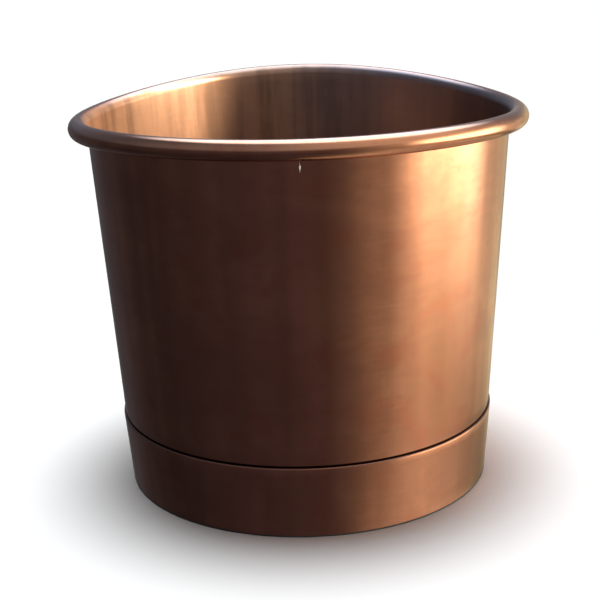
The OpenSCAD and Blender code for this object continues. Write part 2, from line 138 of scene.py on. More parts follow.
class Tree:
    """Adds nodes to a tree and joins them up."""

    def __init__(self, tree):
        self.tree = tree

    def add(self, kind, values=None, **settings):
        """A new node. A value is a number, a colour, or the node or output that feeds the input."""
        node = self.tree.nodes.new(kind)
        for name, setting in settings.items():
            setattr(node, name, setting)
        for key, value in (values or {}).items():
            self.feed(node.inputs[key], value)
        return node

    def feed(self, socket, value):
        """Joins an output to an input, or sets the input. A colour is three numbers."""
        if isinstance(value, bpy.types.Node):
            value = value.outputs[0]
        if isinstance(value, bpy.types.NodeSocket):
            self.tree.links.new(value, socket)
        elif socket.type == "RGBA":
            socket.default_value = (*value, 1.0)
        else:
            socket.default_value = value

    def math(self, operation, *values):
        return self.add("ShaderNodeMath", dict(enumerate(values)), operation=operation).outputs[0]

    def plus(self, a, b):
        return self.math("ADD", a, b)

    def minus(self, a, b):
        return self.math("SUBTRACT", a, b)

    def times(self, a, b):
        return self.math("MULTIPLY", a, b)

    def total(self, *rows):
        """The sum of some values, each times its share."""
        result = self.times(*rows[0])
        for value, share in rows[1:]:
            result = self.plus(result, self.times(value, share))
        return result

    def vector(self, operation, *values):
        node = self.add("ShaderNodeVectorMath", dict(enumerate(values)), operation=operation)
        return node.outputs["Value" if operation in ("DISTANCE", "DOT_PRODUCT") else "Vector"]

    def scaled(self, vector, factor):
        return self.add("ShaderNodeVectorMath", {0: vector, "Scale": factor}, operation="SCALE")

    def point(self, x=0.0, y=0.0, z=0.0):
        return self.add("ShaderNodeCombineXYZ", {0: x, 1: y, 2: z})

    def parts(self, vector):
        return self.add("ShaderNodeSeparateXYZ", {0: vector}).outputs

    def whole(self, operation, *values):
        return self.add("FunctionNodeIntegerMath", dict(enumerate(values)), operation=operation)

    def rise(self, value, low, high, to_low=0.0, to_high=1.0):
        """A smooth change from one value to another as the input goes from low to high."""
        values = {0: value, 1: low, 2: high, 3: to_low, 4: to_high}
        return self.add("ShaderNodeMapRange", values, interpolation_type="SMOOTHSTEP").outputs[0]

    def mix(self, factor, a, b, blend="MIX"):
        """A mix of two colours."""
        values = {0: factor, 6: a, 7: b}
        return self.add("ShaderNodeMix", values, data_type="RGBA", blend_type=blend).outputs[2]

    def ramp(self, value, *stops):
        """A colour or a grey for each stop's place, with even changes between."""
        node = self.add("ShaderNodeValToRGB", {0: value})
        elements = node.color_ramp.elements
        while len(elements) < len(stops):
            elements.new(0.5)
        for element, (place, colour) in zip(elements, stops):
            element.position = place
            element.color = (*(colour if isinstance(colour, tuple) else (colour,) * 3), 1.0)
        return node.outputs[0]

    def noise(self, place, scale, detail=3.0, rough=0.55, stretch=(1.0, 1.0, 1.0), distort=0.0):
        """Noise on a place, finer along an axis whose stretch is above 1."""
        mapped = self.add("ShaderNodeMapping", {"Vector": place, "Scale": stretch})
        values = {"Vector": mapped, "Scale": scale, "Detail": detail, "Roughness": rough,
                  "Distortion": distort}
        return self.add("ShaderNodeTexNoise", values).outputs[0]


# ---- finishes ------------------------------------------------------------------------------

def cleared(owner):
    """The tree helper of a material or a world, with its tree emptied."""
    owner.use_nodes = True
    owner.node_tree.nodes.clear()
    return Tree(owner.node_tree)


def deeper(colour, share):
    """A colour with each part times a share."""
    return tuple(c * share for c in colour)


def new_finish(name):
    """An empty material with its tree helper, its shader and the place on the piece."""
    material = bpy.data.materials.new(name)
    t = cleared(material)
    shader = t.add("ShaderNodeBsdfPrincipled")
    t.add("ShaderNodeOutputMaterial", {"Surface": shader})
    place = t.add("ShaderNodeTexCoord").outputs["Object"]
    return material, t, shader, place


def bump(t, shader, height, distance, strength=1.0):
    """Fine relief on a shader, as deep as distance in metres."""
    values = {"Height": height, "Distance": distance, "Strength": strength}
    t.feed(shader.inputs["Normal"], t.add("ShaderNodeBump", values))


def copper(name, bright, dark, patina=0.62, brushing=0.6, roughness=0.20, grain=0.62, coat=0.35,
           worn=(), painted_shade_bands=(), inside=None):
    """Antique copper: brushed round the tub, smoky patina, and worn bright where hands and cloths rub.

    worn lists (height, half width) bands, in metres, where the patina is rubbed away. The list after it gives
    bands, the same way, where the copper is darkened as a painted shade.
    inside is the colour of the duller, rougher copper that faces the tub's axis, painted darker also as shade
    inside the tub. Water has run down it, and its right half is darkened greyer as a painted shade."""
    material, t, shader, place = new_finish(name)
    clouds = t.noise(place, 3.2, 4.0, 0.6, (1.0, 1.0, 1.7), 0.6)
    patches = t.noise(place, 11.0, 5.0, 0.65, (1.0, 1.0, 1.3), 0.3)
    bands = t.noise(place, 1.0, 3.0, 0.6, (1.4, 1.4, 34.0))
    drips = t.noise(place, 1.0, 3.0, 0.6, (20.0, 20.0, 1.2))
    lines = t.noise(place, 1.0, 2.0, 0.7, (9.0, 9.0, 1500.0))
    fine = t.noise(place, 1.0, 1.0, 0.6, (30.0, 30.0, 4200.0))
    smoke = t.total((clouds, 0.50), (patches, 0.28), (bands, 0.09), (drips, 0.13))
    smoke = t.rise(smoke, 0.39, 0.61, 0.0, patina)
    height = t.parts(place)["Z"]
    for level, reach in worn:
        away = t.math("ABSOLUTE", t.minus(height, level))
        away = t.plus(away, t.times(t.minus(patches, 0.5), reach))
        smoke = t.times(smoke, t.rise(away, reach * 0.3, reach, 0.15, 1.0))
    colour = t.mix(smoke, bright, dark)
    redden = t.rise(patches, 0.50, 0.70, 0.0, 0.55)
    colour = t.mix(redden, colour, (bright[0] * 0.88, bright[1] * 0.66, bright[2] * 0.60))
    # Painted shade: copper in these bands is darkened almost to black.
    for level, reach in painted_shade_bands:
        near = t.math("ABSOLUTE", t.minus(height, level))
        colour = t.mix(t.rise(near, reach, reach * 0.4, 0.0, 0.8), colour, deeper(dark, 0.35))
    rough = t.plus(roughness - 0.03, t.times(smoke, 0.07))
    rough = t.plus(rough, t.times(lines, 0.05 * brushing))
    shader.inputs["Metallic"].default_value = 1.0
    # Copper facing the axis is duller and rougher, and darker as a painted shade inside the tub.
    if inside:
        outwards = t.vector("NORMALIZE", t.vector("MULTIPLY", place, (1.0, 1.0, 0.0)))
        normal = t.add("ShaderNodeNewGeometry").outputs["True Normal"]
        dull = t.rise(t.vector("DOT_PRODUCT", outwards, normal), -0.1, -0.7)
        streaked = t.plus(t.times(smoke, 0.7), t.rise(drips, 0.40, 0.62, 0.0, 0.55))
        mottled = t.mix(streaked, inside, deeper(inside, 0.50))
        across = t.parts(place)["X"]
        # Painted shade: the inside's right side is darkened greyer towards this colour.
        darker_tone = (0.15, 0.122, 0.125)
        mottled = t.mix(t.rise(across, -0.12, 0.30, 0.0, 0.8), mottled, darker_tone)
        colour = t.mix(dull, colour, mottled)
        rough = t.plus(rough, t.times(dull, 0.14))
        t.feed(shader.inputs["Metallic"], t.minus(1.0, t.times(dull, 0.16)))
    scratch = t.rise(lines, 0.42, 0.62, 1.0 - 0.08 * brushing, 1.0 + 0.04 * brushing)
    colour = t.mix(1.0, colour, t.point(scratch, scratch, scratch), "MULTIPLY")
    t.feed(shader.inputs["Base Color"], colour)
    t.feed(shader.inputs["Roughness"], rough)
    shader.inputs["Anisotropic"].default_value = grain
    shader.inputs["Anisotropic Rotation"].default_value = 0.25
    shader.inputs["Coat Weight"].default_value = coat
    shader.inputs["Coat Roughness"].default_value = 0.22
    t.feed(shader.inputs["Tangent"], t.add("ShaderNodeTangent", direction_type="RADIAL", axis="Z"))
    bump(t, shader, t.total((lines, 0.6), (fine, 0.4)), 0.00002, 0.3 * brushing)
    return material


def painted(name, colour, speck=0.5):
    """Powder coat: satin, faintly orange-peeled, with paler dusty patches."""
    material, t, shader, place = new_finish(name)
    peel = t.noise(place, 900.0, 2.0, 0.5)
    wear = t.noise(place, 38.0, 5.0, 0.65)
    light = tuple(c * 1.6 + 0.02 for c in colour)
    dusty = t.rise(wear, 0.45, 0.75, 0.0, speck)
    t.feed(shader.inputs["Base Color"], t.mix(dusty, colour, light))
    t.feed(shader.inputs["Roughness"], t.rise(wear, 0.3, 0.7, 0.38, 0.55))
    bump(t, shader, peel, 0.00006, 0.5)
    return material


def bare_metal(name, colour, darker_tone, roughness=0.3, stretch=(1.0, 1.0, 40.0)):
    """Plated or machined metal with tool lines and slight tarnish."""
    material, t, shader, place = new_finish(name)
    tarnish = t.noise(place, 60.0, 5.0, 0.65)
    lines = t.noise(place, 60.0, 2.0, 0.6, stretch)
    stained = t.rise(tarnish, 0.4, 0.75, 0.0, 0.7)
    t.feed(shader.inputs["Base Color"], t.mix(stained, colour, darker_tone))
    t.feed(shader.inputs["Roughness"], t.rise(tarnish, 0.3, 0.75, roughness - 0.05, roughness + 0.14))
    shader.inputs["Metallic"].default_value = 1.0
    bump(t, shader, lines, 0.00004, 0.4)
    return material


def moulded(name, colour, roughness=0.5, grain=600.0):
    """Moulded rubber, nylon or foam with a fine grain and slight scuffing."""
    material, t, shader, place = new_finish(name)
    scuff = t.noise(place, 70.0, 5.0, 0.7)
    fine = t.noise(place, grain, 3.0, 0.6)
    light = tuple(min(1.0, c * 1.25 + 0.015) for c in colour)
    t.feed(shader.inputs["Base Color"], t.mix(t.rise(scuff, 0.45, 0.75), colour, light))
    t.feed(shader.inputs["Roughness"], t.rise(scuff, 0.3, 0.7, roughness, roughness + 0.15))
    bump(t, shader, fine, 0.0001, 0.5)
    return material


def plywood(name, pale, brown):
    """Marine plywood: grain across its faces and thin veneers along its edge."""
    material, t, shader, place = new_finish(name)
    grain = t.noise(place, 9.0, 5.0, 0.65, (1.0, 14.0, 1.0), 0.4)
    fibre = t.noise(place, 60.0, 3.0, 0.6, (1.0, 22.0, 1.0))
    height = t.parts(place)["Z"]
    veneer = t.math("PINGPONG", t.math("DIVIDE", height, 1.5 * MM), 1.0)
    share = t.plus(t.rise(grain, 0.35, 0.65, 0.0, 0.5), t.rise(veneer, 0.4, 0.6, 0.0, 0.3))
    share = t.plus(share, t.rise(fibre, 0.4, 0.7, 0.0, 0.2))
    t.feed(shader.inputs["Base Color"], t.mix(share, pale, brown))
    t.feed(shader.inputs["Roughness"], t.rise(grain, 0.3, 0.7, 0.42, 0.6))
    bump(t, shader, fibre, 0.0002, 0.5)
    return material


def solder(name, bright, dark, inside):
    """Copper-coloured filler, pale where a drop of solder stands proud: partly the solder's own paler colour,
    partly a painted glint, near-white and half matt.
    """
    material = copper(name, bright, dark, worn=((RIM_TOP, 0.03),), inside=inside)
    t = Tree(material.node_tree)
    shader = next(node for node in material.node_tree.nodes if node.type == "BSDF_PRINCIPLED")
    link = shader.inputs["Base Color"].links[0].from_socket
    place = t.add("ShaderNodeTexCoord").outputs["Object"]
    # Painted glint: round the drop the colour turns near-white cream and the metal half matt, so it shines
    # under any light.
    near = t.rise(t.vector("DISTANCE", place, SOLDER_DROP), 11 * MM, 8 * MM)
    t.feed(shader.inputs["Base Color"], t.mix(near, link, (0.90, 0.86, 0.66)))
    metal = shader.inputs["Metallic"].links[0].from_socket
    t.feed(shader.inputs["Metallic"], t.minus(metal, t.times(near, 0.6)))
    return material


# ---- outlines of turned pieces -------------------------------------------------------------

def arc(centre, radius, start, end, steps):
    """Points along an arc, from one angle to another in degrees."""
    angles = [math.radians(start + (end - start) * i / steps) for i in range(steps + 1)]
    return [(centre[0] + radius * math.cos(a), centre[1] + radius * math.sin(a)) for a in angles]


def along(start, end, steps):
    """Points along a straight stretch, its ends left out."""
    return [
        tuple(s + (e - s) * i / steps for s, e in zip(start, end))
        for i in range(1, steps)
    ]


def eased(outline, radius, steps=3, sharp=20.0):
    """A closed outline with its sharp corners rounded, except on the axis."""
    result = []
    count = len(outline)
    for i, point in enumerate(outline):
        here = Vector(point)
        back = Vector(outline[i - 1]) - here
        ahead = Vector(outline[(i + 1) % count]) - here
        turn = 180.0 - math.degrees(back.angle(ahead, math.pi))
        if turn < sharp or here.x < MERGE:
            result.append(point)
            continue
        cut = min(radius, 0.45 * back.length, 0.45 * ahead.length)
        first = here + back.normalized() * cut
        last = here + ahead.normalized() * cut
        for k in range(steps + 1):
            s = k / steps
            result.append(tuple(first * (1 - s) ** 2 + here * 2 * s * (1 - s) + last * s ** 2))
    return result


def cad_outline(node, centre=(0.0, 0.0)):
    """Outline of a turned node: where a half plane through its axis cuts it."""
    mesh = bmesh.new()
    mesh.from_mesh(frame["nodes"][node].data)
    bmesh.ops.translate(mesh, verts=mesh.verts, vec=(-centre[0], -centre[1], 0.0))
    bmesh.ops.remove_doubles(mesh, verts=mesh.verts, dist=MERGE)
    bmesh.ops.bisect_plane(mesh, geom=mesh.verts[:] + mesh.edges[:] + mesh.faces[:], dist=MERGE / 10,
                           plane_co=(0, 0, 0), plane_no=(1, 0, 0), clear_inner=True)
    cut = bmesh.ops.bisect_plane(mesh, geom=mesh.verts[:] + mesh.edges[:] + mesh.faces[:], dist=MERGE,
                                 plane_co=(0, 0, 0), plane_no=(0, 1, 0))
    edges = [e for e in cut["geom_cut"] if isinstance(e, bmesh.types.BMEdge)]
    links = {}
    for edge in edges:
        a, b = edge.verts
        links.setdefault(a, []).append(b)
        links.setdefault(b, []).append(a)
    ends = [v for v, near in links.items() if len(near) == 1]
    here = ends[0] if ends else next(iter(links))
    path = [here]
    seen = {here}
    while True:
        onward = [v for v in links[path[-1]] if v not in seen]
        if not onward:
            break
        path.append(onward[0])
        seen.add(onward[0])
    outline = [(max(v.co.x, 0.0), v.co.z) for v in path]
    mesh.free()
    return straightened(outline)


def straightened(outline):
    """An outline without the points that lie along a straight stretch."""
    kept = []
    count = len(outline)
    for i, point in enumerate(outline):
        back = Vector(outline[i - 1]) - Vector(point)
        ahead = Vector(outline[(i + 1) % count]) - Vector(point)
        if back.length < MERGE:
            continue
        if math.degrees(math.pi - back.angle(ahead, 0.0)) > 0.2:
            kept.append(point)
    return kept


# ---- turned pieces -------------------------------------------------------------------------

def new_tree(name, inputs):
    """A geometry tree's helper and its inputs, which are (name, kind, default) after the geometry."""
    tree = bpy.data.node_groups.new(name, "GeometryNodeTree")
    tree.interface.new_socket("Geometry", in_out="INPUT", socket_type="NodeSocketGeometry")
    tree.interface.new_socket("Geometry", in_out="OUTPUT", socket_type="NodeSocketGeometry")
    for title, kind, default in inputs:
        socket = tree.interface.new_socket(title, in_out="INPUT", socket_type="NodeSocket" + kind)
        if default is not None:
            socket.default_value = default
    t = Tree(tree)
    return t, t.add("NodeGroupInput").outputs


TURNED_INPUTS = (
    ("Segments", "Int", 96),
    ("Start", "Float", 0.0),
    ("Sweep", "Float", FULL_TURN),
    ("Centre", "Vector", (0.0, 0.0, 0.0)),
    ("Saddle", "Float", 0.0),
    ("Triple Wave", "Float", 0.0),
    ("Wave From", "Float", 0.0),
    ("Wave To", "Float", 1.0),
    ("Unevenness", "Float", 0.0),
    ("Patch Size", "Float", 0.18),
    ("Uneven From", "Float", 0.0),
    ("Uneven To", "Float", 0.1),
    ("Thread Depth", "Float", 0.0),
    ("Thread Pitch", "Float", 1.0),
    ("Thread From", "Float", 0.0),
    ("Thread To", "Float", 1.0),
    ("Material", "Material", None),
)


def turned_tree():
    """Tree that turns an outline round an axis, closes part turns, and lets the sheet wave a little."""
    t, given = new_tree("Turned Piece", TURNED_INPUTS)
    outline = given["Geometry"]
    count = t.add("GeometryNodeAttributeDomainSize", {0: outline}).outputs["Point Count"]
    rows = t.whole("ADD", count, 1)
    columns = t.whole("ADD", given["Segments"], 1)
    grid = t.add("GeometryNodeMeshGrid", {"Vertices X": columns, "Vertices Y": rows})
    index = t.add("GeometryNodeInputIndex")
    column = t.whole("DIVIDE_FLOOR", index, rows)
    row = t.whole("MODULO", t.whole("MODULO", index, rows), count)
    position = t.add("GeometryNodeInputPosition")
    sample = t.add("GeometryNodeSampleIndex", data_type="FLOAT_VECTOR")
    t.feed(sample.inputs["Geometry"], outline)
    t.feed(sample.inputs["Value"], position)
    t.feed(sample.inputs["Index"], row)
    share = t.math("DIVIDE", column, given["Segments"])
    angle = t.math("MULTIPLY_ADD", share, given["Sweep"], given["Start"])
    values = {"Vector": sample.outputs[0], "Angle": angle}
    around = t.add("ShaderNodeVectorRotate", values, rotation_type="Z_AXIS")
    skin = t.add("GeometryNodeSetPosition", {"Geometry": grid, "Position": around})
    joined = t.add("GeometryNodeJoinGeometry")
    t.feed(joined.inputs[0], skin)
    for end in (given["Start"], t.plus(given["Start"], given["Sweep"])):
        values = {"Geometry": outline, "Rotation": t.point(z=end)}
        t.feed(joined.inputs[0], t.add("GeometryNodeTransform", values))
    part_turn = t.math("LESS_THAN", given["Sweep"], FULL_TURN - 0.001)
    whole = t.add("GeometryNodeSwitch", {"Switch": part_turn, "False": skin, "True": joined},
                  input_type="GEOMETRY")
    x, y, z = t.parts(position)
    phi = t.math("ARCTAN2", x, t.times(y, -1.0))
    flat = t.vector("NORMALIZE", t.point(x, y))
    saddle = t.times(given["Saddle"], t.math("COSINE", t.times(phi, 2.0)))
    triple = t.times(given["Triple Wave"], t.math("COSINE", t.times(phi, 3.0)))
    wave = t.times(t.plus(saddle, triple), t.rise(z, given["Wave From"], given["Wave To"]))
    spot = t.vector("ADD", t.scaled(flat, RIM_R), t.point(z=z))
    fine_spot = t.scaled(spot, t.math("DIVIDE", 1.0, given["Patch Size"]))
    lumps = t.add("ShaderNodeTexNoise", {"Vector": fine_spot, "Scale": 1.0, "Detail": 1.0}).outputs[0]
    swell = t.times(t.minus(lumps, 0.5), t.times(given["Unevenness"], 2.0))
    swell = t.times(swell, t.rise(z, given["Uneven From"], given["Uneven To"]))
    climb = t.minus(t.math("DIVIDE", z, given["Thread Pitch"]), t.math("DIVIDE", phi, FULL_TURN))
    tooth = t.math("PINGPONG", climb, 0.5)
    threaded = t.times(t.math("GREATER_THAN", z, given["Thread From"]),
                       t.math("LESS_THAN", z, given["Thread To"]))
    tooth = t.times(t.times(tooth, given["Thread Depth"]), -2.0)
    outward = t.plus(swell, t.times(tooth, threaded))
    shift = t.vector("ADD", t.scaled(flat, outward), t.point(z=wave))
    moved = t.add("GeometryNodeSetPosition", {"Geometry": whole, "Offset": shift})
    merged = t.add("GeometryNodeMergeByDistance", {"Geometry": moved, "Distance": MERGE})
    placed = t.add("GeometryNodeTransform", {"Geometry": merged, "Translation": given["Centre"]})
    finish_tree(t, placed, given["Material"])
    return t.tree


def finish_tree(t, geometry, material):
    """Last steps of a tree: smooth shading with crisp folds, real meshes, and the finish."""
    smooth = t.add("GeometryNodeSetShadeSmooth", {"Geometry": geometry, "Shade Smooth": True})
    fold = t.math("GREATER_THAN", t.add("GeometryNodeInputMeshEdgeAngle").outputs["Unsigned Angle"],
                  math.radians(38))
    values = {"Geometry": smooth, "Selection": fold, "Shade Smooth": False}
    crisp = t.add("GeometryNodeSetShadeSmooth", values, domain="EDGE")
    real = t.add("GeometryNodeRealizeInstances", {"Geometry": crisp})
    done = t.add("GeometryNodeSetMaterial", {"Geometry": real, "Material": material})
    t.add("NodeGroupOutput", {0: done})


def linked(name, data):
    """A new object in the scene."""
    thing = bpy.data.objects.new(name, data)
    bpy.context.scene.collection.objects.link(thing)
    return thing


def spelled(inputs):
    """Tree inputs under their full names, which have spaces."""
    return {key.replace("_", " "): value for key, value in inputs.items()}


TREES = {}


def tree_named(name, make):
    """The node tree of that name, made once."""
    if name not in TREES:
        TREES[name] = make()
    return TREES[name]


def outline_mesh(outline):
    """A face with the outline's points in order, in the plane that holds the axis."""
    mesh = bpy.data.meshes.new("outline")
    mesh.from_pydata([(r, 0.0, z) for r, z in outline], [], [list(range(len(outline)))])
    return mesh


def grown(host, tree, inputs):
    """The plain mesh that a tree makes of a host mesh with these named inputs."""
    holder = linked("host", host)
    modifier = holder.modifiers.new("Grow", "NODES")
    modifier.node_group = tree
    sockets = {s.name: s.identifier for s in tree.interface.items_tree if s.in_out == "INPUT"}
    for name, value in inputs.items():
        modifier[sockets[name]] = value
    graph = bpy.context.evaluated_depsgraph_get()
    mesh = bpy.data.meshes.new_from_object(holder.evaluated_get(graph), depsgraph=graph)
    bpy.data.objects.remove(holder)
    bpy.data.meshes.remove(host)
    return mesh


def cleaned(mesh):
    """The mesh with its doubles merged, loose bits gone and faces outwards."""
    work = bmesh.new()
    work.from_mesh(mesh)
    bmesh.ops.remove_doubles(work, verts=work.verts, dist=MERGE)
    bmesh.ops.dissolve_degenerate(work, edges=work.edges, dist=MERGE / 10)
    bmesh.ops.delete(work, geom=[e for e in work.edges if not e.link_faces], context="EDGES")
    bmesh.ops.delete(work, geom=[v for v in work.verts if not v.link_faces], context="VERTS")
    bmesh.ops.recalc_face_normals(work, faces=work.faces)
    work.to_mesh(mesh)
    work.free()
    return mesh


def added(name, mesh, body):
    """A piece at the origin, with the finish its mesh already carries, that rides on the body, if one is
    given.
    """
    mesh.name = name
    piece = linked(name, mesh)
    if body:
        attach(piece, body)
    return piece


def settled(node, mesh):
    """The finished piece that stands for a frame part: named after it and riding on its body."""
    piece = added(node.title(), mesh, BODIES[node])
    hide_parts(node)
    return piece


def finish_of(node):
    """The finish of a frame part."""
    return FINISHES[SLOTS[node]]


def turned(node, outline, **inputs):
    """A piece made by turning an outline round the tub's axis, or round its own centre."""
    settings = spelled(inputs)
    settings["Material"] = finish_of(node)
    mesh = grown(outline_mesh(outline), tree_named("turned", turned_tree), settings)
    return settled(node, cleaned(mesh))


def turned_like(node, ease, segments, divide=None, **inputs):
    """A turned piece with the frame part's own outline, its corners eased."""
    place = middle(node)
    centre = (round(place.x, 4), round(place.y, 4))
    outline = eased(cad_outline(node, centre), ease)
    if divide:
        outline = divided(outline, divide)
    return turned(node, outline, Segments=segments, Centre=(*centre, 0.0), **inputs)


def divided(outline, step):
    """A closed outline with rows added along its tall stretches."""
    result = []
    for start, end in zip(outline, outline[1:] + outline[:1]):
        tall = abs(end[1] - start[1]) if max(start[0], end[0]) > MERGE else 0.0
        count = max(1, math.ceil(tall / step))
        result += [start] + along(start, end, count)
    return result


# ---- softened, lathed and repeated pieces --------------------------------------------------

def shaded(work, mesh, finish, fold=38):
    """Writes the working mesh out with smooth faces, crisp folds and its finish."""
    bmesh.ops.recalc_face_normals(work, faces=work.faces)
    for face in work.faces:
        face.smooth = True
    for edge in work.edges:
        edge.smooth = edge.is_manifold and edge.calc_face_angle(0.0) < math.radians(fold)
    work.to_mesh(mesh)
    work.free()
    mesh.materials.append(finish)
    return mesh


def softened(node, width, fold=35):
    """The frame part's own shape, merged, with its edges rounded over."""
    work = bmesh.new()
    work.from_mesh(frame["nodes"][node].data)
    bmesh.ops.remove_doubles(work, verts=work.verts, dist=MERGE)
    bmesh.ops.dissolve_limit(work, angle_limit=math.radians(0.5), verts=work.verts, edges=work.edges)
    sharp = [e for e in work.edges if e.is_manifold and e.calc_face_angle(0.0) > math.radians(fold)]
    bmesh.ops.bevel(work, geom=sharp, offset=width, offset_type="OFFSET", segments=2, profile=0.5,
                    affect="EDGES", clamp_overlap=True)
    bmesh.ops.remove_doubles(work, verts=work.verts, dist=MERGE)
    piece = settled(node, shaded(work, bpy.data.meshes.new(node), finish_of(node)))
    even = piece.modifiers.new("Even shading", "WEIGHTED_NORMAL")
    even.keep_sharp = True
    return piece


def lathed(work, rows, columns, closed=False):
    """Turns rows of (radius, height) round Z. A radius may be a function of the angle."""
    rings = []
    for radius, height in rows:
        if not callable(radius) and radius < MERGE:
            rings.append([work.verts.new((0.0, 0.0, height))])
            continue
        ring = []
        for i in range(columns):
            angle = FULL_TURN * i / columns
            r = radius(angle) if callable(radius) else radius
            ring.append(work.verts.new((r * math.cos(angle), r * math.sin(angle), height)))
        rings.append(ring)
    pairs = list(zip(rings, rings[1:] + rings[:1])) if closed else list(zip(rings, rings[1:]))
    for lower, upper in pairs:
        for i in range(columns):
            j = (i + 1) % columns
            below = (lower[i % len(lower)], lower[j % len(lower)])
            above = (upper[j % len(upper)], upper[i % len(upper)])
            corners = list(dict.fromkeys(below + above))
            if len(corners) > 2:
                work.faces.new(corners)
    return rings


def nut_rows(sides, across, low, high, bore_rows):
    """Rows of a nut whose corners are turned off at 30 degrees at both ends."""
    half = across / 2
    step = FULL_TURN / sides
    slope = math.tan(math.radians(30))
    face = half * 0.96
    depth = (half / math.cos(step / 2) - face) * slope
    count = 5

    def radius(cut):
        return lambda angle: min(half / math.cos(angle % step - step / 2), face + cut / slope)

    cuts = [depth * k / count for k in range(count + 1)]
    outer = [(radius(cut), low + cut) for cut in cuts]
    outer += [(radius(cut), high - cut) for cut in reversed(cuts)]
    return outer + bore_rows


def bored(radius, ease, low, high):
    """Rows of a plain bore with its edges eased, from the top down."""
    return [(radius + ease, high), (radius, high - ease), (radius, low + ease), (radius + ease, low)]


def nut(node, sides, bore_rows):
    """A nut that stands for a frame part on the tub's axis."""
    low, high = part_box(node)
    across = (high.x - low.x) * math.cos(math.pi / sides)
    work = bmesh.new()
    lathed(work, nut_rows(sides, across, low.z, high.z, bore_rows), sides * 12, closed=True)
    return settled(node, shaded(work, bpy.data.meshes.new(node), finish_of(node), fold=24))


def crossed(work, rim, reach, half, depth):
    """Closes the flat top of a screw's head, leaving a cross recess that narrows as it goes down."""
    height = rim[0].co.z
    narrowed = 0.55
    loops = []
    for scale, drop in ((1.0, 0.0), (narrowed, depth)):
        loop = []
        for quarter in range(4):
            turn = Matrix.Rotation(math.pi / 2 * quarter, 3, "Z")
            for point in ((reach, -half), (reach, half), (half, half)):
                x, y = (c * scale if abs(c) == reach else c for c in point)
                loop.append(work.verts.new(turn @ Vector((x, y, height - drop))))
        loops.append(loop)
    upper, lower = loops
    for i in range(len(upper)):
        j = (i + 1) % len(upper)
        work.faces.new((upper[i], upper[j], lower[j], lower[i]))
    work.faces.new(lower)
    edges = [work.edges.get((a, b)) for a, b in zip(rim, rim[1:] + rim[:1])]
    edges += [work.edges.get((a, b)) for a, b in zip(upper, upper[1:] + upper[:1])]
    bmesh.ops.triangle_fill(work, use_beauty=True, edges=edges, normal=(0, 0, 1))


def screw_mesh(name, finish, head_rows, shank, length, pitch, recess):
    """A screw that points down from the origin, where the top of its head is."""
    neck = head_rows[0][1]
    tip = 3 * MM
    root = shank * 0.74
    turns = int((length + neck - tip) / pitch)
    rows = [(0.0, -length), (shank * 0.45, tip / 2 - length)]
    for i in range(turns):
        start = tip - length + i * pitch
        rows += [(root, start), (shank, start + pitch * 0.5), (root, start + pitch * 0.7)]
    work = bmesh.new()
    rings = lathed(work, rows + head_rows, 18)
    crossed(work, rings[-1], *recess)
    return shaded(work, bpy.data.meshes.new(name), finish, fold=30)


def scattered_tree():
    """Tree that sets a shape on every point, turned as the point says."""
    t, given = new_tree("Set On Points", (("Shape", "Object", None), ("Material", "Material", None)))
    shape = t.add("GeometryNodeObjectInfo", {"Object": given["Shape"]}).outputs["Geometry"]
    turn = t.add("GeometryNodeInputNamedAttribute", {"Name": "turn"}, data_type="FLOAT_VECTOR").outputs[0]
    rotation = t.add("FunctionNodeEulerToRotation", {0: turn})
    values = {"Points": given["Geometry"], "Instance": shape, "Rotation": rotation}
    real = t.add("GeometryNodeRealizeInstances", {0: t.add("GeometryNodeInstanceOnPoints", values)})
    done = t.add("GeometryNodeSetMaterial", {"Geometry": real, "Material": given["Material"]})
    t.add("NodeGroupOutput", {0: done})
    return t.tree


def scattered(node, shape, places):
    """A piece of like shapes, one at each (point, turn)."""
    host = bpy.data.meshes.new("points")
    host.from_pydata([point for point, turn in places], [], [])
    turns = host.attributes.new("turn", "FLOAT_VECTOR", "POINT")
    turns.data.foreach_set("vector", [c for point, turn in places for c in turn])
    model = linked("shape", shape)
    mesh = grown(host, tree_named("scattered", scattered_tree), {"Shape": model, "Material": finish_of(node)})
    bpy.data.objects.remove(model)
    return settled(node, mesh)


def bead_tree():
    """Tree that runs a round bead along every path, with the ripples of a weld where it is asked to."""
    inputs = [(name, "Float", None) for name in ("Radius", "Ripple", "Pitch", "Step")]
    t, given = new_tree("Bead", inputs + [("Sides", "Int", None), ("Material", "Material", None)])
    curve = t.add("GeometryNodeMeshToCurve", {0: given["Geometry"]})
    fine = t.add("GeometryNodeResampleCurve", {"Curve": curve, "Length": given["Step"]}, mode="LENGTH")
    spline = t.add("GeometryNodeSplineParameter").outputs
    turns = t.times(t.math("DIVIDE", spline["Length"], given["Pitch"]), FULL_TURN)
    wave = t.math("MULTIPLY_ADD", t.math("SINE", turns), given["Ripple"], 1.0)
    share = spline["Factor"]
    ends = t.times(t.rise(share, 0.0, 0.04, 0.5), t.rise(share, 1.0, 0.96, 0.5))
    full = t.times(t.times(wave, ends), given["Radius"])
    profile = t.add("GeometryNodeCurvePrimitiveCircle", {"Resolution": given["Sides"], "Radius": 1.0})
    values = {"Curve": fine, "Profile Curve": profile.outputs["Curve"], "Scale": full, "Fill Caps": True}
    finish_tree(t, t.add("GeometryNodeCurveToMesh", values), given["Material"])
    return t.tree


def beaded(paths, finish, radius, ripple=0.0, pitch=1.0, step=0.8 * MM, sides=10):
    """Mesh of a bead along each path of points."""
    points = [point for path in paths for point in path]
    edges = []
    first = 0
    for path in paths:
        edges += [(first + i, first + i + 1) for i in range(len(path) - 1)]
        first += len(path)
    host = bpy.data.meshes.new("paths")
    host.from_pydata(points, edges, [])
    inputs = {"Radius": radius, "Ripple": ripple, "Pitch": pitch, "Step": step, "Sides": sides,
              "Material": finish}
    return cleaned(grown(host, tree_named("bead", bead_tree), inputs))


# ---- settings ------------------------------------------------------------------------------

